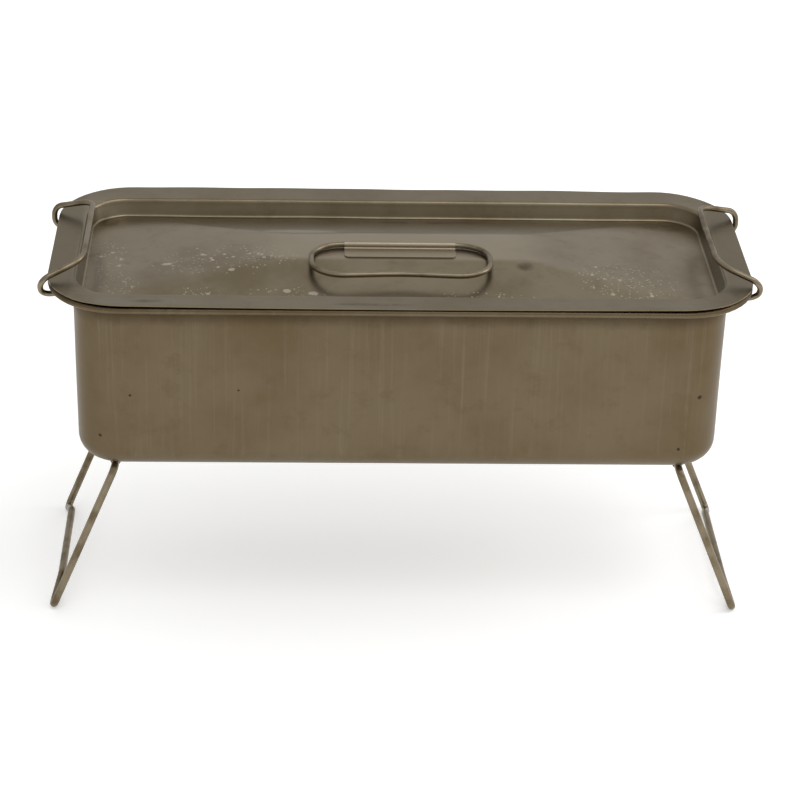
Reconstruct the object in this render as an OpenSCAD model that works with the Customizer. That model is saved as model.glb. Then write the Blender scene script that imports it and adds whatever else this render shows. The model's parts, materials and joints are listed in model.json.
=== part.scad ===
// Boiling instrument sterilizer: a deep-drawn pan on two folding wire leg frames, with a
// recessed lid held down by two wire bails and a perforated instrument tray inside.
// Origin on the floor under the centre of the pan, X along the pan, Z up, millimetres.

/* [Pan] */
// Outside length of the pan at its mouth
pan_length = 400; // [340:5:460]
// Outside width of the pan at its mouth
pan_width = 150; // [130:5:180]
// Depth from the top of the rim flange to the underside of the bottom
pan_depth = 118; // [90:1:150]
// Radius of the pan's upright corners
pan_corner_r = 28; // [22:1:36]
// Radius between the walls and the bottom
pan_bottom_r = 14; // [8:1:16]
// Sheet thickness of the pan
pan_sheet = 0.9; // [0.7:0.1:1.4]
// How far each wall leans in over its height
pan_lean = 0.8; // [0.2:0.1:2]
// Width of the rim flange at the two ends
end_flange = 15; // [13:0.5:18]
// Width of the rim flange along the two sides
side_flange = 17; // [14:0.5:20]
// Corner radius of the rim flange
rim_corner_r = 47; // [42:1:52]
// Diameter of the stiffening wire rolled into the rim
rim_wire_d = 2.4; // [1.8:0.1:3]

/* [Lid] */
// Sheet thickness of the lid
lid_sheet = 0.8; // [0.6:0.1:1.2]
// Depth of the recess pressed into the lid
lid_recess = 10.9; // [8:0.1:14]
// How far the recess wall leans in
lid_lean = 2; // [1:0.1:3]
// Bend radius at the foot of the recess wall
lid_foot_r = 2.4; // [1.6:0.1:4]
// Gap between the recess and the mouth of the pan on each side
lid_plug_gap = 1; // [0.6:0.1:2]
// Gap between the lid flange and the pan flange
lid_seat_gap = 0.4; // [0.3:0.1:0.8]
// Length of the flat landing at the middle of the panel
landing_length = 156; // [130:1:180]
// Width of the flat landing
landing_width = 38; // [34:1:50]
// Height of the landing above the lid flange
landing_rise = 0.5; // [0:0.1:2]

/* [Lid handle] */
// Wire diameter of the lid handle and of the tray handles
handle_wire_d = 3.5; // [3:0.1:4]
// Width of the handle between wire centres
handle_width = 110; // [96:1:130]
// Reach of the handle from its hinge to its front bar
handle_reach = 46.5; // [40:0.5:56]
// Radius of the handle's corners
handle_corner_r = 19.5; // [14:0.5:20]
// How far the middle of the front bar is drawn in
handle_waist = 4; // [1:0.5:7]
// Length of the clip over the handle's hinge bar
clip_length = 69; // [50:1:70]
// Width of the clip's flange from the hinge centre
clip_flange = 15.5; // [10:0.5:16]
// Distance of the hinge from the middle of the lid
handle_offset = 3; // [0:0.5:4]

/* [Straps] */
// Sheet thickness of all hinge straps and clips
strap_sheet = 0.8; // [0.6:0.1:1.2]
// Radial running clearance between a wire and its strap
hinge_clearance = 0.06; // [0.03:0.01:0.1]
// Gap between a hinge wire and the sheet behind it
wire_gap = 0.3; // [0.3:0.1:0.6]
// Corner radius of the strap flanges
strap_corner_r = 3; // [1:0.5:4]
// Radius of the bend between a strap's bead and its flange
strap_bend_r = 1; // [0.5:0.1:1.5]

/* [Bails] */
// Wire diameter of the bails
bail_wire_d = 3.5; // [3:0.1:4]
// Distance of the bail hinge from the end wall
bail_standoff = 4.5; // [3.4:0.1:5]
// Depth of the bail hinge below the top of the pan flange
bail_drop = 8.8; // [8:0.1:11]
// Half width of the bail at its hinge
bail_hinge_half = 50.3; // [44:0.1:52]
// How far the curl reaches past the edge of the rim flange
bail_curl_out = 8.4; // [7:0.1:11]
// Distance of the bail shoulder in from the edge of the rim flange
bail_shoulder_in = 2.9; // [1:0.1:4]
// Half width of the bail at its shoulders
bail_shoulder_half = 56.7; // [52:0.1:60]
// Height of the bail shoulders above the lid flange
bail_shoulder_rise = 7.1; // [6.8:0.1:9]
// Distance of the middle bar in from the edge of the rim flange
bail_bar_in = 21.9; // [18:0.1:24]
// Half length of the middle bar
bail_bar_half = 44.4; // [40:0.1:48]
// Height of the middle bar above the lid flange
bail_bar_rise = 11; // [10.6:0.1:14]
// Length of the bail straps
bail_strap_length = 88; // [60:1:90]
// Width of the bail strap flange below the hinge centre
bail_strap_flange = 12; // [8:0.5:16]

/* [Legs] */
// Wire diameter of the leg frames
leg_wire_d = 4.8; // [4:0.1:6]
// Distance of each leg hinge in from the end of the pan
leg_hinge_in = 24; // [20:1:40]
// Distance along the leg from its hinge to its foot
leg_reach = 108.4; // [90:0.1:140]
// Outward slant of the legs from upright
leg_splay = 22.4; // [15:0.1:28]
// Distance of each leg's side wires in from the side of the pan
leg_side_in = 8.2; // [5:0.1:11]
// Bend radius at the top of a leg
leg_top_r = 5; // [4:0.5:6]
// Bend radius at a foot
leg_foot_r = 4.5; // [3:0.5:6]
// How far the foot bar is drawn in between the feet
leg_waist = 13; // [6:0.5:18]
// Distance along the foot bar in which it is drawn in
leg_waist_run = 24.8; // [20:0.1:32]
// Distance between the ends of a leg strap and the side wires of its leg
leg_strap_end = 9.8; // [9:0.1:20]
// Width of the leg strap flange from the hinge centre
leg_strap_flange = 15; // [10:0.5:18]

/* [Tray] */
// Gap between the tray's rim and the walls of the pan
tray_gap = 9; // [6:0.5:14]
// Depth of the instrument tray
tray_depth = 14; // [10:1:20]
// Radius of the tray's upright corners
tray_corner_r = 20; // [16:1:26]
// Radius between the tray's walls and its floor
tray_bottom_r = 4; // [2:0.5:6]
// Sheet thickness of the tray
tray_sheet = 0.8; // [0.6:0.1:1.2]
// Width of the tray's turned-out rim
tray_rim = 4; // [3:0.5:6]
// Diameter of the holes in the tray floor
hole_d = 5; // [3:0.5:7]
// Spacing of the holes
hole_pitch = 16; // [12:1:24]
// Height of the tray floor above the bottom of the pan
tray_stand = 14; // [10:1:20]
// Distance of each tray handle hinge in from the end of the tray
tray_hinge_in = 18; // [16:0.5:30]
// Length of a tray handle from its hinge to its bar
tray_handle_reach = 46.5; // [40:0.5:50]
// Width of a tray handle between wire centres
tray_handle_width = 84; // [70:1:90]
// Length of the clips that hold the tray handles
tray_clip_length = 40; // [30:1:44]
// Wire diameter of the tray feet
foot_wire_d = 3.5; // [3:0.1:4]
// Distance of each wire foot in from the end of the tray
foot_in = 66; // [60:1:90]
// Distance of the turned-down ends of each foot in from the side of the tray
foot_side_in = 15; // [13:0.5:24]
// Bend radius of the wire feet
foot_bend_r = 5; // [3:0.5:7]

/* [Hidden] */
$fn = 96;
wire_fn = 24;
// Room that a cut runs past the face that it opens
over = 1;
// Half of the gap between the two ends of a wire loop
butt_gap = 0.4;
// Bends are this much thicker all round than the straights that run into their ends
bend_swell = 0.02;
bend_lap = 0.25;
// Bent edges of sheet run this far into the flat sheet that they continue
sheet_lap = 0.5;
flange_bend_r = 1.5;
rim_clearance = 0.05;

// The rolled rim: a curl of sheet round the rim wire
curl_in = rim_wire_d / 2 + rim_clearance;
curl_out = curl_in + pan_sheet;
rim_length = pan_length + 2 * end_flange;
rim_width = pan_width + 2 * side_flange;
rim_edge = rim_length / 2;

// Heights, from the floor up
leg_r = leg_wire_d / 2;
leg_hinge_z = leg_r + leg_reach * cos(leg_splay);
pan_bottom_z = leg_hinge_z + leg_r + wire_gap;
pan_top_z = pan_bottom_z + pan_depth;
lid_top_z = pan_top_z + lid_seat_gap + lid_sheet;
landing_z = lid_top_z + landing_rise;
handle_r = handle_wire_d / 2;
handle_z = landing_z + wire_gap + handle_r;
tray_floor_z = pan_bottom_z + pan_sheet + tray_stand;
tray_top_z = tray_floor_z + tray_depth;
tray_handle_z = tray_floor_z + tray_sheet + wire_gap + handle_r;

// The lid's recess sits in the mouth of the pan
plug_length = pan_length - 2 * pan_sheet - 2 * lid_plug_gap;
plug_width = pan_width - 2 * pan_sheet - 2 * lid_plug_gap;
plug_corner_r = pan_corner_r - pan_sheet - lid_plug_gap;
panel_inset = lid_lean + lid_foot_r;
panel = [plug_length - 2 * panel_inset, plug_width - 2 * panel_inset];

// Bails: hinge place on the end wall, and the heights and lengths set out from the rim
bail_r = bail_wire_d / 2;
bail_hinge_x = pan_length / 2 + bail_standoff;
bail_hinge_z = pan_top_z - bail_drop;
bail_bend_r = 3.2;
bail_curl_r = 5.6;
bail_bar_r = 9;

// Legs: the corner of the foot is set back so that the bend itself ends at leg_reach
leg_hinge_x = pan_length / 2 - leg_hinge_in;
leg_half = pan_width / 2 - leg_side_in;
leg_waist_half = leg_half - leg_waist_run;
foot_turn = 90 + atan(leg_waist / leg_waist_run);
foot_corner = leg_reach - leg_foot_r + leg_foot_r * tan(foot_turn / 2);
leg_waist_r = 16;

// Tray: fitted into the pan with a gap all round its rim
tray_length = pan_length - 2 * (pan_sheet + tray_gap + tray_rim);
tray_width = pan_width - 2 * (pan_sheet + tray_gap + tray_rim);
tray_hinge_x = tray_length / 2 - tray_hinge_in;
foot_x = tray_length / 2 - foot_in;
foot_half = tray_width / 2 - foot_side_in;

// The front bars of the handles bend softly at their middle
handle_waist_r = 140;
tray_handle_waist = 0.5;

// Shades of the dull plated steel
STEEL = [0.50, 0.47, 0.38];
LID_STEEL = [0.48, 0.45, 0.37];
WIRE_STEEL = [0.58, 0.54, 0.46];
INNER_STEEL = [0.60, 0.58, 0.52];

function unit(v) = v / norm(v);
function place(p) = [p[0], p[1], p[2]];
function run(path, i) = unit(place(path[i + 1]) - place(path[i]));
function turn(path, i) = acos(run(path, i - 1) * run(path, i));
function is_end(path, i) = i == 0 || i == len(path) - 1;
function tangent_length(path, i) = is_end(path, i) ? 0 : path[i][3] * tan(turn(path, i) / 2);

function flip_x(p) = [-p[0], p[1], p[2], p[3]];
function flip_y(p) = [p[0], -p[1], p[2], p[3]];

// A half path and its mirror image, as one open path with butted ends. The half path of
// loop_x ends on the plane of symmetry, and that of loop_y stops short of it.
function loop_x(half) = concat(half, [for (i = [len(half) - 2:-1:0]) flip_x(half[i])]);
function loop_y(half) = concat(half, [for (i = [len(half) - 1:-1:0]) flip_y(half[i])]);

// The straight stretch of wire from point i of the path to the next, lapping into the bends
module straight(path, i, d) {
    u = run(path, i);
    start = tangent_length(path, i) - (is_end(path, i) ? 0 : bend_lap);
    end = tangent_length(path, i + 1) - (is_end(path, i + 1) ? 0 : bend_lap);
    length = norm(place(path[i + 1]) - place(path[i])) - start - end;
    translate(place(path[i]) + u * start)
        rotate([0, acos(u[2]), atan2(u[1], u[0])])
            cylinder(h = length, d = d, $fn = wire_fn);
}

// One bend of wire at point i of the path
module bend(path, i, d) {
    u = run(path, i - 1);
    v = run(path, i);
    n = unit(v - (u * v) * u);
    w = cross(u, n);
    c = place(path[i]) - u * tangent_length(path, i) + n * path[i][3];
    multmatrix([
        [-n[0], u[0], w[0], c[0]],
        [-n[1], u[1], w[1], c[1]],
        [-n[2], u[2], w[2], c[2]],
        [0, 0, 0, 1]])
        rotate_extrude(angle = turn(path, i))
            translate([path[i][3], 0])
                circle(d = d + 2 * bend_swell, $fn = wire_fn);
}

// Bent wire along a path of [x, y, z, bend radius]
module wire_form(path, d) {
    for (i = [0:len(path) - 2])
        straight(path, i, d);
    for (i = [1:len(path) - 2])
        bend(path, i, d);
}

// Rectangle with round corners
module round_rect(length, width, r) {
    square([length, width - 2 * r], center = true);
    square([length - 2 * r, width], center = true);
    for (x = [-1, 1], y = [-1, 1])
        translate([x * (length / 2 - r), y * (width / 2 - r)])
            circle(r);
}

// Sweeps a section round a rectangle with round corners; x = 0 of the section is the outline
module sweep_round(length, width, r) {
    for (q = [0:3]) {
        x = (q == 0 || q == 3) ? 1 : -1;
        y = q < 2 ? 1 : -1;
        translate([x * (length / 2 - r), y * (width / 2 - r), 0])
            rotate(90 * q)
                rotate_extrude(angle = 90)
                    translate([r, 0])
                        children();
    }
    for (side = [0, 180])
        rotate(side) {
            translate([length / 2, 0, 0])
                rotate([90, 0, 0])
                    linear_extrude(width - 2 * r, center = true)
                        children();
            translate([0, width / 2, 0])
                rotate([90, 0, 90])
                    linear_extrude(length - 2 * r, center = true)
                        children();
        }
}

// Quarter of a ring of sheet, from start to start + 90 degrees
module quarter_ring(inner, sheet, start) {
    rotate(start)
        intersection() {
            difference() {
                circle(inner + sheet);
                circle(inner);
            }
            square(inner + sheet + over);
        }
}

// Section through a drawn wall: flange bend at the top, leaning wall, round foot
module wall_section(depth, foot_r, sheet, lean) {
    wall_top = -sheet - flange_bend_r;
    wall_foot = foot_r - depth;
    translate([flange_bend_r, wall_top])
        quarter_ring(flange_bend_r, sheet, 90);
    translate([flange_bend_r, -sheet])
        square([sheet_lap, sheet]);
    translate([-sheet, 0])
        polygon([[0, wall_top], [sheet, wall_top], [sheet - lean, wall_foot], [-lean, wall_foot]]);
    translate([-lean - foot_r, wall_foot])
        quarter_ring(foot_r - sheet, sheet, 270);
    translate([-lean - foot_r - sheet_lap, -depth])
        square([sheet_lap, sheet]);
}

// Flange and walls of a drawn vessel with its top face at z = 0. The mouth is the outside of
// the walls at the top, and mouth and rim are each given as [length, width, corner radius].
module drawn_walls(mouth, rim, depth, foot_r, sheet, lean) {
    bend = flange_bend_r * [2, 2, 1];
    translate([0, 0, -sheet])
        linear_extrude(sheet)
            difference() {
                round_rect(rim[0], rim[1], rim[2]);
                round_rect(mouth[0] + bend[0], mouth[1] + bend[1], mouth[2] + bend[2]);
            }
    sweep_round(mouth[0], mouth[1], mouth[2])
        wall_section(depth, foot_r, sheet, lean);
}

// Outline of the flat floor inside the round foot of a drawn vessel
module floor_outline(mouth, inset) {
    round_rect(mouth[0] - 2 * inset, mouth[1] - 2 * inset, mouth[2] - inset);
}

// Filling of an inside corner at the origin, between +X and +Y
module inside_bend(r) {
    difference() {
        square(r);
        translate([r, r])
            circle(r);
    }
}

// Sheet strap over a hinge wire that runs along Y through the origin, on a sheet face at
// z = -height, with its one flange towards +X
module strap(length, wire_d, height, flange) {
    bore_r = wire_d / 2 + hinge_clearance;
    bead_r = bore_r + strap_sheet;
    intersection() {
        rotate([90, 0, 0])
            linear_extrude(length, center = true)
                difference() {
                    union() {
                        circle(bead_r);
                        translate([-bead_r, -height])
                            square([2 * bead_r, height]);
                        translate([0, -height])
                            square([flange, strap_sheet]);
                        translate([bead_r, strap_sheet - height])
                            inside_bend(strap_bend_r);
                    }
                    circle(bore_r);
                    translate([-bore_r, -height - over])
                        square([2 * bore_r, height + over]);
                }
        translate([0, 0, -height - over])
            linear_extrude(height + bead_r + 2 * over) {
                translate([flange / 2 - bead_r, 0])
                    round_rect(flange, length, strap_corner_r);
                translate([flange / 2, 0])
                    round_rect(flange, length, strap_corner_r);
                translate([-bead_r - over, -length / 2])
                    square([2 * bead_r, length]);
            }
    }
}

// Carrying loop of wire in the XY plane, hinged on the X axis and reaching to -Y
module handle_loop(width, reach, corner_r, waist, d) {
    half = [
        [butt_gap, 0, 0, 0],
        [width / 2, 0, 0, corner_r],
        [width / 2, -reach - waist / 4, 0, corner_r],
        [0, -reach + waist * 3 / 4, 0, handle_waist_r]];
    wire_form(loop_x(half), d);
}

module pan() {
    mouth = [pan_length, pan_width, pan_corner_r];
    flange = [rim_length, rim_width, rim_corner_r] - curl_out * [2, 2, 1];
    color(STEEL)
        translate([0, 0, pan_top_z]) {
            drawn_walls(mouth, flange, pan_depth, pan_bottom_r, pan_sheet, pan_lean);
            translate([0, 0, -pan_depth])
                linear_extrude(pan_sheet)
                    floor_outline(mouth, pan_lean + pan_bottom_r);
            sweep_round(rim_length, rim_width, rim_corner_r)
                translate([-curl_out, -curl_out]) {
                    for (start = [0, 270, 180])
                        quarter_ring(curl_in, pan_sheet, start);
                    translate([-sheet_lap, curl_in])
                        square([sheet_lap, pan_sheet]);
                }
        }
}

module rim_wire() {
    color(WIRE_STEEL)
        translate([0, 0, pan_top_z - curl_out])
            sweep_round(rim_length, rim_width, rim_corner_r)
                translate([-curl_out, 0])
                    circle(d = rim_wire_d, $fn = wire_fn);
}

module leg_strap() {
    length = 2 * (leg_half - leg_strap_end);
    color(STEEL)
        translate([leg_hinge_x, 0, leg_hinge_z])
            rotate([0, 180, 0])
                strap(length, leg_wire_d, leg_r + wire_gap, leg_strap_flange);
}

// One leg frame: hinge bar, two side wires and a foot bar drawn in between the feet
module leg() {
    half = [
        [0, butt_gap, 0, 0],
        [0, leg_half, 0, leg_top_r],
        [0, leg_half, -foot_corner, leg_foot_r],
        [0, leg_waist_half, -foot_corner + leg_waist, leg_waist_r]];
    color(WIRE_STEEL)
        translate([leg_hinge_x, 0, leg_hinge_z])
            rotate([0, -leg_splay, 0])
                wire_form(loop_y(half), leg_wire_d);
}

module bail_strap() {
    color(STEEL)
        translate([bail_hinge_x, 0, bail_hinge_z])
            rotate([0, 90, 0])
                strap(bail_strap_length, bail_wire_d, bail_standoff, bail_strap_flange);
}

// One bail: hinge bar under the rim, curls round the rim's edge, arms up to a middle bar
module bail() {
    half = [
        [bail_hinge_x, butt_gap, bail_hinge_z, 0],
        [bail_hinge_x, bail_hinge_half, bail_hinge_z, bail_bend_r],
        [rim_edge + bail_curl_out, bail_hinge_half, bail_hinge_z, bail_curl_r],
        [rim_edge - bail_shoulder_in, bail_shoulder_half, lid_top_z + bail_shoulder_rise, bail_curl_r],
        [rim_edge - bail_bar_in, bail_bar_half, lid_top_z + bail_bar_rise, bail_bar_r]];
    color(WIRE_STEEL)
        wire_form(loop_y(half), bail_wire_d);
}

// Hipped solid under the cross-broken panel, from the recess floor up to the landing
module panel_rise() {
    top = [landing_length / panel[0], landing_width / panel[1]];
    linear_extrude(lid_recess + landing_rise, scale = top, slices = 1, $fn = 4)
        square(panel, center = true);
}

// The panel's edge is left thick underneath, so that its corners close on the round foot
module lid() {
    mouth = [plug_length, plug_width, plug_corner_r];
    panel_depth = lid_recess + lid_sheet;
    color(LID_STEEL)
        translate([0, 0, lid_top_z]) {
            drawn_walls(mouth, [rim_length, rim_width, rim_corner_r], panel_depth, lid_foot_r,
                lid_sheet, lid_lean);
            translate([0, 0, -panel_depth])
                intersection() {
                    difference() {
                        union() {
                            linear_extrude(lid_sheet)
                                square(panel, center = true);
                            translate([0, 0, lid_sheet])
                                panel_rise();
                        }
                        intersection() {
                            panel_rise();
                            linear_extrude(2 * panel_depth)
                                floor_outline(mouth, panel_inset + lid_foot_r);
                        }
                    }
                    linear_extrude(2 * panel_depth)
                        floor_outline(mouth, panel_inset);
                }
        }
}

module lid_handle_clip() {
    color(LID_STEEL)
        translate([0, -handle_offset, handle_z])
            rotate(-90)
                strap(clip_length, handle_wire_d, handle_r + wire_gap, clip_flange);
}

module lid_handle() {
    color(WIRE_STEEL)
        translate([0, -handle_offset, handle_z])
            handle_loop(handle_width, handle_reach, handle_corner_r, handle_waist, handle_wire_d);
}

// Rows of holes, every other row shifted by half a pitch
module floor_holes() {
    columns = floor((tray_length / 2 - tray_corner_r) / hole_pitch);
    row_pitch = hole_pitch * sqrt(3) / 2;
    rows = floor((tray_width / 2 - tray_bottom_r - hole_d) / row_pitch);
    for (row = [-rows:rows], column = [-columns:columns]) {
        shift = abs(row) % 2 == 1 ? hole_pitch / 2 : 0;
        if (column < columns || shift == 0)
            translate([column * hole_pitch + shift, row * row_pitch])
                circle(d = hole_d, $fn = wire_fn);
    }
}

module tray() {
    mouth = [tray_length, tray_width, tray_corner_r];
    color(INNER_STEEL)
        translate([0, 0, tray_top_z]) {
            drawn_walls(mouth, mouth + tray_rim * [2, 2, 1], tray_depth, tray_bottom_r, tray_sheet, 0);
            translate([0, 0, -tray_depth])
                linear_extrude(tray_sheet)
                    difference() {
                        floor_outline(mouth, tray_bottom_r);
                        floor_holes();
                    }
        }
}

// One wire foot: a bar welded across under the tray floor with both ends turned down
module tray_foot() {
    foot_r = foot_wire_d / 2;
    bar_z = tray_floor_z - foot_r;
    end_z = pan_bottom_z + pan_sheet + wire_gap;
    path = [
        [foot_x, -foot_half, end_z, 0],
        [foot_x, -foot_half, bar_z, foot_bend_r],
        [foot_x, foot_half, bar_z, foot_bend_r],
        [foot_x, foot_half, end_z, 0]];
    color(WIRE_STEEL)
        wire_form(path, foot_wire_d);
}

module tray_clip() {
    color(INNER_STEEL)
        translate([tray_hinge_x, 0, tray_handle_z])
            rotate(180)
                strap(tray_clip_length, handle_wire_d, handle_r + wire_gap, clip_flange);
}

module tray_handle() {
    color(WIRE_STEEL)
        translate([tray_hinge_x, 0, tray_handle_z])
            rotate(-90)
                handle_loop(tray_handle_width, tray_handle_reach, handle_corner_r,
                    tray_handle_waist, handle_wire_d);
}

// The left end of the sterilizer mirrors the right end
module left() {
    mirror([1, 0, 0])
        children();
}

pan();
rim_wire();
left() leg_strap();  // left_leg_strap
leg_strap();  // right_leg_strap
left() leg();  // left_leg
leg();  // right_leg
left() bail_strap();  // left_bail_strap
bail_strap();  // right_bail_strap
left() bail();  // left_bail
bail();  // right_bail
lid();
lid_handle_clip();
lid_handle();
tray();
left() tray_foot();  // tray_left_foot
tray_foot();  // tray_right_foot
left() tray_clip();  // tray_left_clip
tray_clip();  // tray_right_clip
left() tray_handle();  // tray_left_handle
tray_handle();  // tray_right_handle
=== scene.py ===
import json
import math

import bmesh
import bpy
from mathutils import Matrix, Vector, noise


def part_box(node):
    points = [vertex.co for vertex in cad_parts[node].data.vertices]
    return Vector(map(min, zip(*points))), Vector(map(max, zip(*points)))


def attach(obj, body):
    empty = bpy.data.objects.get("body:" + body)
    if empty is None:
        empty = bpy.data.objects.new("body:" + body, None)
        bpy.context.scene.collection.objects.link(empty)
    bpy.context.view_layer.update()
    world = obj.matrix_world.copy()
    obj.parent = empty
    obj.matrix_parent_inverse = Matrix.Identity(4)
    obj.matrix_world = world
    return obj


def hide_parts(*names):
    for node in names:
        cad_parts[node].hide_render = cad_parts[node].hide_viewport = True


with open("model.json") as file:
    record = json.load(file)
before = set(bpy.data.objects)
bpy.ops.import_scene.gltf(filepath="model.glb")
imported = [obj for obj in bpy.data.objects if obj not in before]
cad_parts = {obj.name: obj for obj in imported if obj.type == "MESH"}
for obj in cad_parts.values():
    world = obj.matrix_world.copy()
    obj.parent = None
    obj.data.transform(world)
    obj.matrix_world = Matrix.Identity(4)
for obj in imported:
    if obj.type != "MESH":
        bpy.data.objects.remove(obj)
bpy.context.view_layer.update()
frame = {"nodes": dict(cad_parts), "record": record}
print("frame loaded:", len(frame["nodes"]), "parts")

# Pieces are drawn in millimetres and scaled to metres when they are finished
mm = 0.001


def boxMm(node):
    low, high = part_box(node)
    return low / mm, high / mm


panLow, panHigh = boxMm("pan")
lidLow, lidHigh = boxMm("lid")


# Shader maths: a channel adds the Math nodes itself when it is used in an expression

class Channel:
    def __init__(self, finish, output):
        self.finish = finish
        self.output = output

    def __add__(self, other):
        return self.finish.maths("ADD", self, other)

    def __radd__(self, other):
        return self.finish.maths("ADD", other, self)

    def __sub__(self, other):
        return self.finish.maths("SUBTRACT", self, other)

    def __rsub__(self, other):
        return self.finish.maths("SUBTRACT", other, self)

    def __mul__(self, other):
        return self.finish.maths("MULTIPLY", self, other)

    def __rmul__(self, other):
        return self.finish.maths("MULTIPLY", other, self)

    def __truediv__(self, other):
        return self.finish.maths("DIVIDE", self, other)


class Finish:
    def __init__(self, owner):
        owner.use_nodes = True
        self.owner = owner
        self.tree = owner.node_tree
        self.tree.nodes.clear()

    def node(self, kind, settings, sockets, output=0):
        made = self.tree.nodes.new(kind)
        for key, value in settings.items():
            if key != "stops":
                setattr(made, key, value)
        for index, (place, colour) in enumerate(settings.get("stops", [])):
            ramp = made.color_ramp.elements
            element = ramp[index] if index < len(ramp) else ramp.new(place)
            element.position = place
            element.color = colour
        for key, value in sockets.items():
            if isinstance(value, Channel):
                self.tree.links.new(value.output, made.inputs[key])
            else:
                made.inputs[key].default_value = value
        return Channel(self, made.outputs[output]) if made.outputs else None

    def maths(self, operation, *values):
        return self.node("ShaderNodeMath", {"operation": operation}, dict(enumerate(values)))

    def place(self):
        return self.node("ShaderNodeTexCoord", {}, {}, "Object")

    def clouds(self, place, scale, detail, roughness=0.55):
        sockets = {"Vector": place, "Scale": scale, "Detail": detail, "Roughness": roughness}
        return self.node("ShaderNodeTexNoise", {}, sockets)

    # Clouds drawn out along the axis whose scale is the smallest
    def drawnOut(self, place, scales, detail, roughness=0.55):
        stretched = self.node("ShaderNodeMapping", {}, {"Vector": place, "Scale": scales})
        return self.clouds(stretched, 1.0, detail, roughness)

    def cells(self, place, scale):
        return self.node("ShaderNodeTexVoronoi", {}, {"Vector": place, "Scale": scale}, "Distance")

    def ease(self, value, low, high, start=0.0, end=1.0):
        sockets = {"Value": value, "From Min": low, "From Max": high, "To Min": start, "To Max": end}
        return self.node("ShaderNodeMapRange", {"interpolation_type": "SMOOTHSTEP"}, sockets)

    # From 0 at the first place to 1 at the second, both in millimetres
    def fade(self, value, places):
        return self.ease(value, places[0] * mm, places[1] * mm)

    def tint(self, first, second, amount):
        return self.node("ShaderNodeMix", {"data_type": "RGBA"}, {0: amount, 6: first, 7: second}, 2)

    def axes(self, place):
        made = self.node("ShaderNodeSeparateXYZ", {}, {"Vector": place}).output.node
        return [Channel(self, output) for output in made.outputs]

    # 1 in the middle of an ellipse given in millimetres, 0 outside it
    def blot(self, first, second, centre, size, softness):
        across = (first - centre[0] * mm) / (size[0] * mm)
        along = (second - centre[1] * mm) / (size[1] * mm)
        return self.ease(across * across + along * along, 1.0, 1.0 - softness)

    def steel(self, colour, roughness, metallic, height, distance):
        relief = {"Height": height, "Distance": distance * mm, "Strength": 1.0}
        bump = self.node("ShaderNodeBump", {}, relief)
        sockets = {"Base Color": colour, "Roughness": roughness, "Metallic": metallic, "Normal": bump}
        shader = self.node("ShaderNodeBsdfPrincipled", {}, sockets)
        self.node("ShaderNodeOutputMaterial", {}, {"Surface": shader})
        return self.owner


print("shader maths ready")


# Finishes. Each pattern has a scale, a detail and a roughness. An effect has its strength and the
# two places in mm between which it comes in: x along the object, y towards the back, z up.

panLook = {
    "steel": (0.158, 0.122, 0.076, 1),
    "brown": (0.125, 0.090, 0.048, 1),
    "rubbedAndSheen": (0.21, 0.172, 0.118, 1),
    "paintedShade": (0.062, 0.043, 0.024, 1),
    "pit": (0.03, 0.018, 0.01, 1),
    "roughness": {"base": 0.40, "patches": 0.14, "streaks": 0.1, "shadowUnderRim": 0.2},
    "bump": {"streaks": 0.5, "fine": 0.3, "grain": 0.2, "distance": 0.04},
    "patches": (9.0, 5.0, 0.62),
    "mottle": (55.0, 4.0, 0.7),
    "grain": (700.0, 2.0),
    "streaks": ((260, 260, 6), 4.0, 0.7),
    "fine": ((900, 900, 30), 2.0),
    # The pattern values between which each colour comes in, and its least and most
    "brownPatches": (0.35, 0.7),
    "rubbedStreaks": (0.48, 0.8, 0.0, 0.45),
    "brownMottle": (0.5, 0.72, 0.0, 0.5),
    # Painted shade: a dark band on the wall just under the rim, where the rim shades it
    "shadowUnderRim": {"amount": 0.62, "z": (panHigh.z - 21, panHigh.z - 10), "y": (-82, -77), "ragged": 5},
    # Painted shade: the curved front corners of the wall drawn darker
    "corners": {"amount": 0.7, "x": (182, 197), "y": (0, -40)},
    # Painted sheen: the front of the wall drawn lighter near the bottom, where it reflects the floor
    "foot": {"amount": 0.35, "z": (panLow.z + 13, panLow.z + 4), "y": (-50, -60)},
    # Dark pits in the front wall: along the wall and up from the floor, and their radius, in mm
    "pits": [((-165, 157), 1.0), ((-184, 128), 1.2), ((184, 157), 1.6), ((173, 122), 1.2),
             ((-99, 161), 0.8)],
    "pitShape": {"amount": 0.8, "y": (0, -50), "ragged": 0.6, "softness": 0.5},
}


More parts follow.
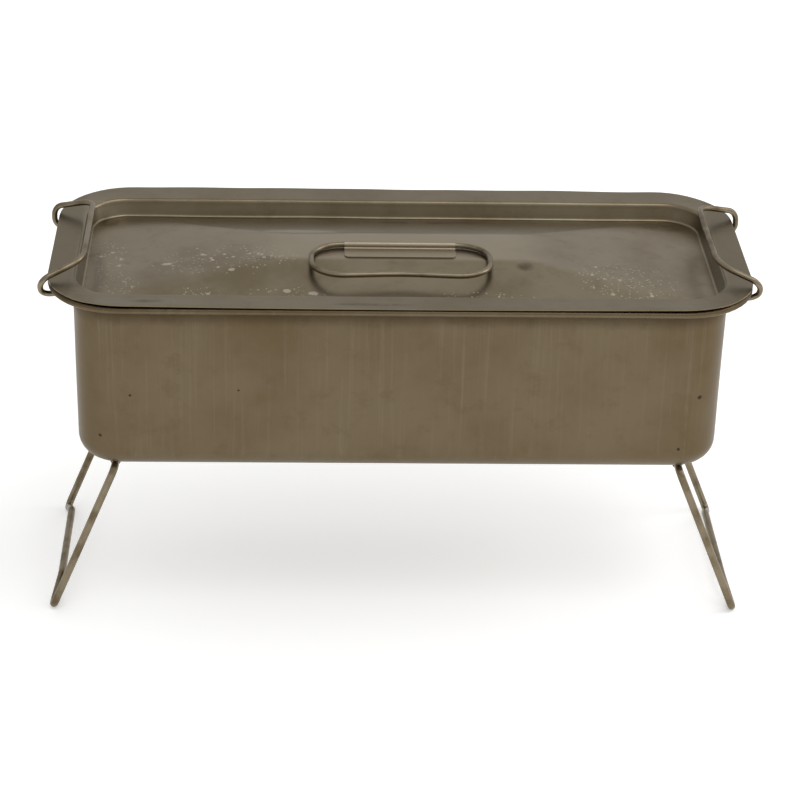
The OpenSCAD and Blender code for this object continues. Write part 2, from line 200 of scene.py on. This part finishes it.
def panSteel():
    look = panLook
    f = Finish(bpy.data.materials.new("panSteel"))
    place = f.place()
    x, y, z = f.axes(place)
    patches = f.clouds(place, *look["patches"])
    mottle = f.clouds(place, *look["mottle"])
    grain = f.clouds(place, *look["grain"])
    streaks = f.drawnOut(place, *look["streaks"])
    fine = f.drawnOut(place, *look["fine"])
    colour = f.tint(look["steel"], look["brown"], f.ease(patches, *look["brownPatches"]))
    colour = f.tint(colour, look["rubbedAndSheen"], f.ease(streaks, *look["rubbedStreaks"]))
    colour = f.tint(colour, look["brown"], f.ease(mottle, *look["brownMottle"]))
    # Painted shade: the dark band under the rim
    shade = look["shadowUnderRim"]
    wavy = z + shade["ragged"] * mm * (mottle - 0.5)
    shadowUnderRim = f.fade(wavy, shade["z"]) * f.fade(y, shade["y"])
    colour = f.tint(colour, look["paintedShade"], shade["amount"] * shadowUnderRim)
    # Painted shade: darker front corners
    shade = look["corners"]
    corners = f.fade(f.maths("ABSOLUTE", x), shade["x"]) * f.fade(y, shade["y"])
    colour = f.tint(colour, look["brown"], shade["amount"] * corners)
    # Painted sheen: lighter low on the front of the wall; the same colour also draws the rubbed streaks
    shade = look["foot"]
    foot = f.fade(z, shade["z"]) * f.fade(y, shade["y"])
    colour = f.tint(colour, look["rubbedAndSheen"], shade["amount"] * foot)
    shape = look["pitShape"]
    rough = shape["ragged"] * (grain - 0.5)
    front = f.fade(y, shape["y"])
    for (along, up), radius in look["pits"]:
        across = (x - along * mm) / (radius * mm)
        above = (z - up * mm) / (radius * mm)
        spot = f.ease(across * across + above * above + rough, 1.0, 1.0 - shape["softness"])
        colour = f.tint(colour, look["pit"], shape["amount"] * spot * front)
    vary = look["roughness"]
    roughness = (vary["base"] + vary["patches"] * (patches - 0.5) + vary["streaks"] * (streaks - 0.5)
                 + vary["shadowUnderRim"] * shadowUnderRim)
    bump = look["bump"]
    height = bump["streaks"] * streaks + bump["fine"] * fine + bump["grain"] * grain
    return f.steel(colour, roughness, 1.0, height, bump["distance"])


lidLook = {
    "steel": (0.236, 0.196, 0.134, 1),
    "brown": (0.172, 0.135, 0.082, 1),
    "paintedSheen": (0.310, 0.262, 0.190, 1),      # painted sheen: the landing and a patch behind it drawn lighter, and the clip
    "tarnishAndShade": (0.136, 0.108, 0.062, 1),   # tarnish on the flange, most of all at its ends; also painted shade on the upper recess walls
    "scale": (0.43, 0.38, 0.30, 1),
    "stain": (0.075, 0.056, 0.034, 1),
    "roughness": {"base": 0.34, "patches": 0.16, "mottle": 0.12, "scale": 0.25},
    "bump": {"streaks": 0.4, "grain": 0.3, "scale": 0.5, "distance": 0.03},
    "patches": (14.0, 5.0, 0.62),
    "mottle": (80.0, 5.0, 0.7),
    "grain": (800.0, 2.0),
    "streaks": ((14, 500, 200), 3.0, 0.6),
    "brownPatches": (0.38, 0.75),
    "brownMottle": (0.5, 0.75, 0.0, 0.6),
    "sheenMottle": (0.2, 0.45, 0.7, 1.0),
    "tarnishPatches": (0.2, 0.6, 1.0, 0.85),
    # Where the painted sheen goes: the landing, and a patch behind it
    "landing": {"amount": 0.75, "x": (104, 66), "y": (23, 17)},
    "rubbedAndSheen": {"amount": 0.85, "centre": (-62, 24), "size": (27, 5.5), "softness": 0.4},
    "ends": {"amount": 0.95, "x": (196, 202)},
    "sides": {"amount": 0.42, "y": (72, 77)},
    # Painted shade on the upper part of the front and back recess walls
    "wall": {"amount": 0.3, "z": (lidHigh.z - 10.5, lidHigh.z - 8), "y": (68, 70.5)},
    # Dark stains: centre and radii in mm from the middle of the lid
    "stains": [((-151, -84), (16, 3.5)), ((77, -26), (7, 5)), ((-84, -19), (9, 4)), ((-20, -86), (30, 2.5)),
               ((-185, 58), (9, 10)), ((170, 55), (20, 9)), ((20, 58), (60, 5))],
    "stainShape": {"amount": 0.7, "softness": 0.95, "mottle": (0.3, 0.6)},
    # Where pale scale has dried on, and the specks there: their cells, their size in a cell, and
    # how much they gather in these places
    "scaleSpots": [((-110, -15), (60, 26)), ((-180, 0), (14, 40)), ((-70, -54), (34, 9)),
                   ((50, -57), (44, 8)), ((140, -35), (46, 30)), ((-125, -56), (20, 10)),
                   ((-172, -40), (16, 22))],
    "scaleSoftness": 0.95,
    "bigSpecks": {"amount": 0.9, "cells": 150.0, "size": (0.24, 0.14), "gather": 0.25,
                  "pattern": 1.0, "cover": (0.66, 0.72)},
    "smallSpecks": {"amount": 0.75, "cells": 380.0, "size": (0.27, 0.12), "gather": 0.6,
                    "pattern": 0.4, "cover": (0.34, 0.56)},
    # Single large drops of it
    "drops": [((-144, -16), (4.4, 2.6)), ((-104, -31), (2.8, 2.4)), ((-70, -52), (3.4, 2.4)),
              ((-54, -54), (4, 2.2))],
    "dropShape": {"softness": 0.9, "ragged": 2.2, "cover": (0.35, 0.65, 0.0, 0.8)},
    "ragged": (500.0, 3.0, 0.7),
    "raggedness": 0.5,
    "scaleAmount": 0.8,
    "scaleEnds": (200, 192),
    "scaleDullness": 0.75,
}


# The clip is the lid's steel too, with a painted sheen that makes it lighter all over
def lidSteel(name, rubbedAndSheen=0.0):
    look = lidLook
    f = Finish(bpy.data.materials.new(name))
    place = f.place()
    x, y, z = f.axes(place)
    patches = f.clouds(place, *look["patches"])
    mottle = f.clouds(place, *look["mottle"])
    grain = f.clouds(place, *look["grain"])
    streaks = f.drawnOut(place, *look["streaks"])
    colour = f.tint(look["steel"], look["brown"], f.ease(patches, *look["brownPatches"]))
    colour = f.tint(colour, look["brown"], f.ease(mottle, *look["brownMottle"]))
    outX = f.maths("ABSOLUTE", x)
    outY = f.maths("ABSOLUTE", y)
    # Painted sheen: the landing and the patch behind it drawn lighter
    landing, patch = look["landing"], look["rubbedAndSheen"]
    sheenOnLanding = landing["amount"] * f.fade(outX, landing["x"]) * f.fade(outY, landing["y"])
    sheenOnPatch = patch["amount"] * f.blot(x, y, patch["centre"], patch["size"], patch["softness"])
    paintedSheen = f.maths("MAXIMUM", sheenOnLanding, sheenOnPatch)
    colour = f.tint(colour, look["paintedSheen"], paintedSheen * f.ease(mottle, *look["sheenMottle"]))
    ends, sides, wall = look["ends"], look["sides"], look["wall"]
    edge = f.maths("MAXIMUM", ends["amount"] * f.fade(outX, ends["x"]),
                   sides["amount"] * f.fade(outY, sides["y"]))
    colour = f.tint(colour, look["tarnishAndShade"], edge * f.ease(patches, *look["tarnishPatches"]))
    # Painted shade: the upper part of the front and back recess walls drawn darker
    shadeOnWall = wall["amount"] * f.fade(z, wall["z"]) * f.fade(outY, wall["y"])
    colour = f.tint(colour, look["tarnishAndShade"], shadeOnWall * (1 - edge))
    shape = look["stainShape"]
    broken = f.ease(mottle, *shape["mottle"])
    for centre, size in look["stains"]:
        stain = f.blot(x, y, centre, size, shape["softness"]) * broken
        colour = f.tint(colour, look["stain"], shape["amount"] * stain)
    spots = [f.blot(x, y, centre, size, look["scaleSoftness"]) for centre, size in look["scaleSpots"]]
    where = sum(spots)
    ragged = look["raggedness"] * (f.clouds(place, *look["ragged"]) - 0.5)
    scale = 0.0
    for pattern, specks in ((mottle, look["bigSpecks"]), (patches, look["smallSpecks"])):
        found = f.ease(f.cells(place, specks["cells"]) + ragged, *specks["size"])
        cover = f.ease(pattern * specks["pattern"] + specks["gather"] * where, *specks["cover"])
        scale = f.maths("MAXIMUM", scale, specks["amount"] * found * cover)
    shape = look["dropShape"]
    for centre, size in look["drops"]:
        drop = f.blot(x, y, centre, size, shape["softness"]) - shape["ragged"] * ragged
        scale = f.maths("MAXIMUM", scale, f.ease(drop, *shape["cover"]))
    scale = scale * f.fade(outX, look["scaleEnds"])
    colour = f.tint(colour, look["scale"], look["scaleAmount"] * scale)
    if rubbedAndSheen:
        colour = f.tint(colour, look["paintedSheen"], rubbedAndSheen)
    vary = look["roughness"]
    roughness = (vary["base"] + vary["patches"] * (patches - 0.5) + vary["mottle"] * (mottle - 0.5)
                 + vary["scale"] * scale)
    bump = look["bump"]
    height = bump["streaks"] * streaks + bump["grain"] * grain + bump["scale"] * scale
    return f.steel(colour, roughness, 1.0 - look["scaleDullness"] * scale, height, bump["distance"])


wireLook = {
    "steel": (0.235, 0.194, 0.132, 1),
    "dull": (0.125, 0.092, 0.052, 1),
    "roughness": {"base": 0.36, "patches": 0.2},
    "bump": {"patches": 0.4, "grain": 0.3, "distance": 0.03},
    "patches": (60.0, 4.0),
    "grain": (900.0, 2.0),
    "dullPatches": (0.42, 0.75),
}


def wireSteel():
    look = wireLook
    f = Finish(bpy.data.materials.new("wireSteel"))
    place = f.place()
    patches = f.clouds(place, *look["patches"])
    grain = f.clouds(place, *look["grain"])
    colour = f.tint(look["steel"], look["dull"], f.ease(patches, *look["dullPatches"]))
    roughness = look["roughness"]["base"] + look["roughness"]["patches"] * (patches - 0.5)
    height = look["bump"]["patches"] * patches + look["bump"]["grain"] * grain
    return f.steel(colour, roughness, 1.0, height, look["bump"]["distance"])


trayLook = {
    "steel": (0.36, 0.33, 0.27, 1),
    "dull": (0.26, 0.23, 0.18, 1),
    "roughness": {"base": 0.3, "patches": 0.15},
    "bump": {"distance": 0.03},
    "patches": (20.0, 4.0),
    "streaks": ((10, 500, 500), 3.0),
    "dullPatches": (0.4, 0.7),
}


def traySteel():
    look = trayLook
    f = Finish(bpy.data.materials.new("traySteel"))
    place = f.place()
    patches = f.clouds(place, *look["patches"])
    streaks = f.drawnOut(place, *look["streaks"])
    colour = f.tint(look["steel"], look["dull"], f.ease(patches, *look["dullPatches"]))
    roughness = look["roughness"]["base"] + look["roughness"]["patches"] * (patches - 0.5)
    return f.steel(colour, roughness, 1.0, streaks, look["bump"]["distance"])


finishes = {
    "pan_steel": panSteel(),
    "lid_steel": lidSteel("lidSteel"),
    "wire_steel": wireSteel(),
    "tray_steel": traySteel(),
}
# The clip's lighter copy of the lid finish: painted sheen
clipSheenSteel = lidSteel("clipSheenSteel", 0.7)
print("finishes ready:", len(finishes) + 1)


# Mesh helpers

def runsAlongX(edge):
    run = edge.verts[1].co - edge.verts[0].co
    return abs(run.x) > abs(run.y)


def roundedLoop(bm, length, width, radius, z, cuts):
    already = set(bm.edges)
    corners = [(1, 1), (-1, 1), (-1, -1), (1, -1)]
    verts = [bm.verts.new((x * length / 2, y * width / 2, z)) for x, y in corners]
    bm.faces.new(verts)
    bmesh.ops.bevel(bm, geom=verts, offset=radius, offset_type="OFFSET", affect="VERTICES",
                    segments=cuts["corner"], profile=0.5, material=-1)
    count = 4 * (cuts["corner"] + 1)
    filled = [face for face in bm.faces
              if len(face.verts) == count and not any(edge in already for edge in face.edges)]
    bmesh.ops.delete(bm, geom=filled, context="FACES_ONLY")
    made = [edge for edge in bm.edges if edge not in already]
    longest = sorted(made, key=lambda edge: edge.calc_length())[-4:]
    alongX = [edge for edge in longest if runsAlongX(edge)]
    alongY = [edge for edge in longest if edge not in alongX]
    bmesh.ops.subdivide_edges(bm, edges=alongX, cuts=cuts["long"])
    bmesh.ops.subdivide_edges(bm, edges=alongY, cuts=cuts["short"])
    return [edge for edge in bm.edges if edge not in already]


# An outline is a rounded rectangle: length, width, corner radius and height
def loft(bm, outlines, cuts):
    loops = [roundedLoop(bm, *outline, cuts) for outline in outlines]
    for first, second in zip(loops, loops[1:]):
        bmesh.ops.bridge_loops(bm, edges=first + second)
    bmesh.ops.contextual_create(bm, geom=loops[0])


def grown(outline, by, z):
    length, width, radius = outline
    return (length + 2 * by, width + 2 * by, radius + by, z)


# The outlines from one to another, the second included
def between(first, second, steps):
    made = []
    for step in range(1, steps + 1):
        share = step / steps
        made.append(tuple(a + (b - a) * share for a, b in zip(first, second)))
    return made


def arc(outline, centre, radius, start, end, steps):
    made = []
    for step in range(steps + 1):
        angle = math.radians(start + (end - start) * step / steps)
        out = centre[0] + radius * math.cos(angle)
        z = centre[1] + radius * math.sin(angle)
        made.append(grown(outline, out, z))
    return made


def faceUp(bm):
    bmesh.ops.recalc_face_normals(bm, faces=bm.faces[:])
    if sum(face.normal.z * face.calc_area() for face in bm.faces) < 0:
        bmesh.ops.reverse_faces(bm, faces=bm.faces[:])


def finished(bm, name, body, slot, node):
    bmesh.ops.scale(bm, vec=(mm, mm, mm), verts=bm.verts[:])
    mesh = bpy.data.meshes.new(name)
    bm.to_mesh(mesh)
    bm.free()
    mesh.shade_smooth()
    piece = bpy.data.objects.new(name, mesh)
    bpy.context.scene.collection.objects.link(piece)
    mesh.materials.append(finishes[slot])
    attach(piece, body)
    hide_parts(node)
    return piece


sheetEdge = {"width": 0.12, "segments": 2, "angle": 50}


def sheetWall(piece, thickness):
    wall = piece.modifiers.new("sheet", "SOLIDIFY")
    wall.thickness = thickness * mm
    wall.offset = -1
    wall.use_even_offset = True
    soften = piece.modifiers.new("edges", "BEVEL")
    soften.width = sheetEdge["width"] * mm
    soften.segments = sheetEdge["segments"]
    soften.limit_method = "ANGLE"
    soften.angle_limit = math.radians(sheetEdge["angle"])
    weighted = piece.modifiers.new("normals", "WEIGHTED_NORMAL")
    weighted.keep_sharp = True


def clamped(value):
    return max(0, min(1, value))


# Several waves together, each with its height, wavelength and seed
def ripple(place, waves):
    total = 0
    for height, wavelength, seed in waves:
        x, y, z = (value / wavelength for value in place)
        total += height * noise.noise(Vector((x + seed, y - seed, z)))
    return total


# Pan: inside surface from the middle of the bottom out to the rolled rim

panShape = {
    "mouth": (400, 150, 28),     # outside of the walls at the top: length, width, corner radius
    "middle": (40, 8, 3),        # innermost outline of the floor
    "rimRadius": 47,
    "sheet": 0.9,
    "lean": 0.8,
    "bottomRadius": 14,
    "flangeBend": 1.5,
    "curlRadius": 2.15,
    "curl": (90, -170),          # where the curl of the rim starts and ends, in degrees
    "steps": {"floor": 14, "bottomBend": 9, "wall": 18, "flangeBend": 6, "flange": 6, "curl": 14},
    "cuts": {"corner": 12, "long": 70, "short": 26},
    "dents": [(0.35, 90, 3.1), (0.175, 38, 7.7)],
    "dentFade": (0.04, 6, 8),    # they leave out the top, and how fast they grow from top and bottom
    "longSides": 60,             # beyond this in y a wall dents straight inwards
}


def makePan():
    s = panShape
    steps = s["steps"]
    top, bottom = panHigh.z, panLow.z
    mouth, sheet, bend, curl = s["mouth"], s["sheet"], s["flangeBend"], s["curlRadius"]
    rim = (panHigh.x - panLow.x, panHigh.y - panLow.y, s["rimRadius"])
    footInset = -s["lean"] - s["bottomRadius"]
    footZ = bottom + s["bottomRadius"]
    middle = s["middle"] + (bottom + sheet,)
    floorEdge = grown(mouth, footInset, bottom + sheet)
    wallFoot = grown(mouth, -s["lean"] - sheet, footZ)
    wallTop = grown(mouth, -sheet, top - sheet - bend)
    curlLine = grown(rim, -curl, top - curl)[:3]
    outlines = [middle] + between(middle, floorEdge, steps["floor"])[:-1]
    outlines += arc(mouth, (footInset, footZ), s["bottomRadius"] - sheet, 270, 360, steps["bottomBend"])
    outlines += between(wallFoot, wallTop, steps["wall"])[:-1]
    outlines += arc(mouth, (bend, top - sheet - bend), bend + sheet, 180, 90, steps["flangeBend"])
    outlines += between(grown(mouth, bend, top), curlLine + (top,), steps["flange"])[:-1]
    outlines += arc(curlLine, (0, top - curl), curl, *s["curl"], steps["curl"])
    bm = bmesh.new()
    loft(bm, outlines, s["cuts"])
    faceUp(bm)
    clear, topRate, bottomRate = s["dentFade"]
    for vert in bm.verts:
        x, y, z = vert.co
        depth = (top - z) / (top - bottom)
        mask = clamped((depth - clear) * topRate) * clamped((1 - depth) * bottomRate)
        away = Vector((x, y, 0)).normalized()
        side = Vector((0, 1 if y > 0 else -1, 0)) if abs(y) > s["longSides"] else away
        vert.co -= side * abs(mask * ripple(vert.co, s["dents"]))
    piece = finished(bm, "panBody", "base", "pan_steel", "pan")
    sheetWall(piece, sheet)
    print("pan made")


makePan()


# Lid: top surface from the middle of the landing out to the edge

lidShape = {
    "mouth": (396.2, 146.2, 26.1),   # outside of the recess wall at the top
    "middle": (124, 6, 0.5),         # innermost outline of the landing
    "rimRadius": 47,
    "sheet": 0.8,
    "lean": 2.0,
    "footRadius": 2.4,
    "flangeBend": 1.5,
    "recess": 10.9,
    "landing": (156, 38, 1.0),
    "landingRise": 0.5,
    "steps": {"landing": 5, "panel": 22, "footBend": 5, "wall": 4, "flangeBend": 5, "flange": 6},
    "cuts": {"corner": 12, "long": 80, "short": 30},
    "frontBow": (0.25, 1.5),         # front edge bent up: in the middle, and more at the corners
    "rearBow": 0.5,
    "rearWaves": [(1, 45, 2.2)],
    "flange": (0.84, 8),             # as a share of the way out: where the bow starts, and how fast
    "waves": [(0.35, 70, 1.3), (0.12, 22, 4.3)],
    "waveLimits": (1, 0.85),         # they stay this far below the top, and inside this share of the way out
    "dent": {"centre": (-62, 23), "size": (26, 5), "depth": 0.8},   # behind the landing
}


def makeLid():
    s = lidShape
    steps = s["steps"]
    top = lidHigh.z - s["landingRise"]
    mouth, sheet, bend = s["mouth"], s["sheet"], s["flangeBend"]
    rim = (lidHigh.x - lidLow.x, lidHigh.y - lidLow.y, s["rimRadius"])
    halfX, halfY = rim[0] / 2, rim[1] / 2
    footInset = -s["lean"] - s["footRadius"]
    footZ = top + s["footRadius"] - s["recess"] - sheet
    middle = s["middle"] + (lidHigh.z,)
    landing = s["landing"] + (lidHigh.z,)
    panelEdge = grown(mouth, footInset, top - s["recess"])
    wallFoot = grown(mouth, -s["lean"] - sheet, footZ)
    wallTop = grown(mouth, -sheet, top - sheet - bend)
    outlines = [middle] + between(middle, landing, steps["landing"])
    outlines += between(landing, panelEdge, steps["panel"])[:-1]
    outlines += arc(mouth, (footInset, footZ), s["footRadius"] - sheet, 270, 360, steps["footBend"])
    outlines += between(wallFoot, wallTop, steps["wall"])[:-1]
    outlines += arc(mouth, (bend, top - sheet - bend), bend + sheet, 180, 90, steps["flangeBend"])
    outlines += between(grown(mouth, bend, top), rim + (top,), steps["flange"])
    bm = bmesh.new()
    loft(bm, outlines, s["cuts"])
    faceUp(bm)
    start, rate = s["flange"]
    middleBow, cornerBow = s["frontBow"]
    clear, limit = s["waveLimits"]
    dent = s["dent"]
    for vert in bm.verts:
        x, y, z = vert.co
        out = max(abs(x) / halfX, abs(y) / halfY)
        bow = middleBow + cornerBow * (x / halfX) ** 2
        front = clamped((out - start) * rate) * max(0, -y / halfY) ** 3 * bow
        rear = s["rearBow"] * max(0, y / halfY) ** 6 * (1 + ripple(vert.co, s["rearWaves"]))
        fromX = (x - dent["centre"][0]) / dent["size"][0]
        fromY = (y - dent["centre"][1]) / dent["size"][1]
        sunk = dent["depth"] * math.exp(-fromX ** 2 - fromY ** 2)
        wavy = ripple(vert.co, s["waves"]) if z < lidHigh.z - clear and out < limit else 0
        vert.co.z += front + rear - sunk + wavy
    piece = finished(bm, "lidSheet", "lid", "lid_steel", "lid")
    sheetWall(piece, sheet)
    print("lid made")


makeLid()


# Bent wires: each path is a list of corners with their bend radius

wireCuts = {"sides": 24, "run": 6.0, "bend": 9.0}   # round the wire, mm along it, degrees in a bend
endGap = 0.4    # each end of a wire stops this far from the middle of its hinge bar
hingeGap = 0.3  # between a hinge bar and the sheet that it lies against


def bentWire(path, diameter):
    bm = bmesh.new()
    points = [Vector(point[:3]) for point in path]
    heading = (points[1] - points[0]).normalized()
    start = Matrix.Translation(points[0]) @ heading.to_track_quat("Z", "Y").to_matrix().to_4x4()
    bmesh.ops.create_circle(bm, cap_ends=False, segments=wireCuts["sides"], radius=diameter / 2,
                            matrix=start)
    edges = bm.edges[:]
    firstRing = edges
    at = points[0]
    for index in range(1, len(points)):
        corner, radius = points[index], path[index][3]
        last = index == len(points) - 1
        setBack = 0
        if not last:
            after = (points[index + 1] - corner).normalized()
            turn = heading.angle(after)
            axis = heading.cross(after).normalized()
            setBack = radius * math.tan(turn / 2)
        run = (corner - at).length - setBack
        pieces = max(1, round(run / wireCuts["run"]))
        for _ in range(pieces):
            geom = bmesh.ops.extrude_edge_only(bm, edges=edges)["geom"]
            verts = [part for part in geom if isinstance(part, bmesh.types.BMVert)]
            bmesh.ops.translate(bm, verts=verts, vec=heading * (run / pieces))
            edges = [part for part in geom if isinstance(part, bmesh.types.BMEdge)
                     and all(vert in verts for vert in part.verts)]
        if not last:
            at = corner - heading * setBack
            inward = axis.cross(heading)
            steps = max(2, math.ceil(math.degrees(turn) / wireCuts["bend"]))
            verts = list({vert for edge in edges for vert in edge.verts})
            spun = bmesh.ops.spin(bm, geom=verts + edges, cent=at + inward * radius, axis=axis,
                                  angle=turn, steps=steps, use_merge=False)
            edges = [part for part in spun["geom_last"] if isinstance(part, bmesh.types.BMEdge)]
            at = corner + after * setBack
            heading = after
    bmesh.ops.contextual_create(bm, geom=firstRing)
    bmesh.ops.contextual_create(bm, geom=edges)
    bmesh.ops.recalc_face_normals(bm, faces=bm.faces[:])
    return bm


def mirrorPath(half, axis):
    flipped = [tuple(-v if i == axis else v for i, v in enumerate(point)) for point in reversed(half)]
    return half + (flipped if half[-1][axis] else flipped[1:])


# Corners of each bail as distance out from the edge of the rim, place along the hinge, height
# above the hinge and bend radius. They are bent by hand, so the two are not alike.
bailShape = {
    "wire": 3.6,
    "hinge": (-10.5, 8.8),   # out from the edge of the rim, and below its top
    "left_bail": [
        (-10.5, -50.3, 0, 3.2), (3.6, -52.5, -0.4, 6.2), (3.6, -60.5, 12.3, 6.4),
        (-21.9, -44.4, 19.6, 20), (-21.9, 44.4, 20.2, 12),
        (3.6, 52.5, 13, 6.4), (3.6, 49.5, 0, 6.2), (-10.5, 50.3, 0, 3.2)],
    "right_bail": [
        (-10.5, -50.3, 0, 3.2), (3.6, -49.5, 0, 6.2), (3.6, -57.5, 12.8, 6.4),
        (-21.9, -44.4, 20, 20), (-22.7, 15, 20.4, 120), (-21.9, 44.4, 20.3, 12),
        (3.6, 53.5, 13.6, 6.6), (3.6, 50, 0, 6.2), (-10.5, 50.3, 0, 3.2)],
}


def makeBail(side, body):
    s = bailShape
    out, drop = s["hinge"]
    corners = [(out, -endGap, 0, 0)] + s[body] + [(out, endGap, 0, 0)]
    path = [(side * (panHigh.x + x), y, panHigh.z - drop + z, r) for x, y, z, r in corners]
    bm = bentWire(path, s["wire"])
    finished(bm, body + "Wire", body, "wire_steel", body)


makeBail(-1, "left_bail")
makeBail(1, "right_bail")

legShape = {
    "wire": 4.8,
    "hingeX": 176,
    "half": 66.8,        # half of the width between the two feet
    "reach": 108.4,      # from the hinge down to the feet, along the frame
    "splay": 22.4,
    "topRadius": 5,
    "footRadius": 4.5,
    "waist": 13,         # how far the foot bar rises between the feet, over which run
    "waistRun": 24.8,
    "waistRadius": 16,
}


def makeLeg(side, body):
    s = legShape
    hingeZ = panLow.z - s["wire"] / 2 - hingeGap
    turn = math.radians(90) + math.atan(s["waist"] / s["waistRun"])
    foot = s["reach"] - s["footRadius"] + s["footRadius"] * math.tan(turn / 2)
    half = [
        (0, endGap, 0, 0),
        (0, s["half"], 0, s["topRadius"]),
        (0, s["half"], -foot, s["footRadius"]),
        (0, s["half"] - s["waistRun"], -foot + s["waist"], s["waistRadius"])]
    slant = math.radians(s["splay"])
    path = [(side * (s["hingeX"] - z * math.sin(slant)), y, hingeZ + z * math.cos(slant), r)
            for _, y, z, r in mirrorPath(half, 1)]
    bm = bentWire(path, s["wire"])
    finished(bm, body + "Wire", body, "wire_steel", body)


makeLeg(-1, "left_leg")
makeLeg(1, "right_leg")

handleShape = {
    "wire": 3.5,
    "width": 110,
    "reach": 46.5,
    "cornerRadius": 19.5,
    "waist": 4,          # how far the front bar is pressed in, in the middle
    "waistRadius": 140,
    "offset": 3,         # hinge bar in front of the middle of the lid
}


def makeLidHandle():
    s = handleShape
    z = lidHigh.z + hingeGap + s["wire"] / 2
    front = -s["offset"] - s["reach"]
    half = [
        (endGap, -s["offset"], z, 0),
        (s["width"] / 2, -s["offset"], z, s["cornerRadius"]),
        (s["width"] / 2, front - s["waist"] / 4, z, s["cornerRadius"]),
        (0, front + s["waist"] * 3 / 4, z, s["waistRadius"])]
    bm = bentWire(mirrorPath(half, 0), s["wire"])
    finished(bm, "lidHandleWire", "lid_handle", "wire_steel", "lid_handle")


makeLidHandle()
print("wires made")


# The other parts keep their shape and take a finish

slotOf = {row["node"]: row["material_slot"] for row in frame["record"]["subparts"]}
for node, part in frame["nodes"].items():
    part.data.materials.clear()
    part.data.materials.append(clipSheenSteel if node == "lid_handle_clip" else finishes[slotOf[node]])


# Studio: pale floor, sky, two soft lamps and the camera, in metres

floorLook = {"half": 6, "paper": (0.92, 0.92, 0.91, 1), "glow": 0.35}


def makeFloor():
    bm = bmesh.new()
    bmesh.ops.create_grid(bm, x_segments=2, y_segments=2, size=floorLook["half"])
    mesh = bpy.data.meshes.new("floor")
    bm.to_mesh(mesh)
    bm.free()
    floor = bpy.data.objects.new("floor", mesh)
    bpy.context.scene.collection.objects.link(floor)
    f = Finish(bpy.data.materials.new("floorPaper"))
    seen = f.node("ShaderNodeLightPath", {}, {}).output.node
    shown = sum(Channel(f, seen.outputs[ray]) for ray in
                ("Is Camera Ray", "Is Glossy Ray", "Is Transmission Ray"))
    paper = f.node("ShaderNodeBsdfDiffuse", {}, {"Color": floorLook["paper"]})
    glow = f.node("ShaderNodeEmission", {}, {"Color": (1, 1, 1, 1), "Strength": shown * floorLook["glow"]})
    both = f.node("ShaderNodeAddShader", {}, {0: paper, 1: glow})
    f.node("ShaderNodeOutputMaterial", {}, {"Surface": both})
    mesh.materials.append(f.owner)


skyLook = {
    # Greys from straight down to straight up
    "greys": [(0.0, 0.6), (0.30, 0.86), (0.5, 0.93), (0.78, 0.95), (1.0, 0.72)],
    "strength": 0.84,
    "rightSide": 0.14,   # how much stronger the right is than the middle
}


def makeSky():
    world = bpy.data.worlds.new("studio")
    bpy.context.scene.world = world
    f = Finish(world)
    x, _, z = f.axes(f.node("ShaderNodeTexCoord", {}, {}, "Generated"))
    seen = f.node("ShaderNodeLightPath", {}, {}).output.node
    camera = Channel(f, seen.outputs["Is Camera Ray"])
    stops = [(place, (grey, grey, grey, 1)) for place, grey in skyLook["greys"]]
    level = f.node("ShaderNodeValToRGB", {"stops": stops}, {"Fac": z})
    colour = f.tint(level, (1, 1, 1, 1), camera)
    strength = f.maths("MAXIMUM", camera, skyLook["strength"] + skyLook["rightSide"] * x)
    sky = f.node("ShaderNodeBackground", {}, {"Color": colour, "Strength": strength})
    f.node("ShaderNodeOutputWorld", {}, {"Surface": sky})


lampTarget = (0, 0, 0.2)
lamps = [
    {"name": "overhead", "place": (0.5, -0.5, 2.0), "size": (1.6, 1.0), "power": 9},
    {"name": "side", "place": (1.8, 0.3, 1.0), "size": (0.8, 1.2), "power": 6},
]


def makeLamp(name, place, size, power):
    lamp = bpy.data.lights.new(name, "AREA")
    lamp.shape = "RECTANGLE"
    lamp.size, lamp.size_y = size
    lamp.energy = power
    held = bpy.data.objects.new(name, lamp)
    held.location = place
    held.rotation_euler = (Vector(lampTarget) - Vector(place)).to_track_quat("-Z", "Y").to_euler()
    bpy.context.scene.collection.objects.link(held)


# Turn and roll in radians, dip in degrees, lens and sensor in mm
cameraView = {
    "place": (-0.0653, -1.5490, 0.9072),
    "turn": 0.044,
    "dip": 27.0,
    "roll": 0.027,
    "lens": 121.9,
    "sensor": 36,
}


def makeCamera():
    v = cameraView
    dip = math.radians(v["dip"])
    level = Vector((math.sin(v["turn"]), math.cos(v["turn"]), 0))
    ahead = level * math.cos(dip) - Vector((0, 0, math.sin(dip)))
    right = Vector((math.cos(v["turn"]), -math.sin(v["turn"]), 0))
    up = right.cross(ahead)
    rolledRight = right * math.cos(v["roll"]) + up * math.sin(v["roll"])
    rolledUp = up * math.cos(v["roll"]) - right * math.sin(v["roll"])
    lens = bpy.data.cameras.new("camera")
    lens.lens = v["lens"]
    lens.sensor_width = v["sensor"]
    camera = bpy.data.objects.new("camera", lens)
    bpy.context.scene.collection.objects.link(camera)
    turned = Matrix((rolledRight, rolledUp, -ahead)).transposed().to_4x4()
    camera.matrix_world = Matrix.Translation(v["place"]) @ turned
    bpy.context.scene.camera = camera


makeFloor()
makeSky()
for lamp in lamps:
    makeLamp(**lamp)
makeCamera()
bpy.context.scene.view_settings.view_transform = "Standard"
print("studio ready")
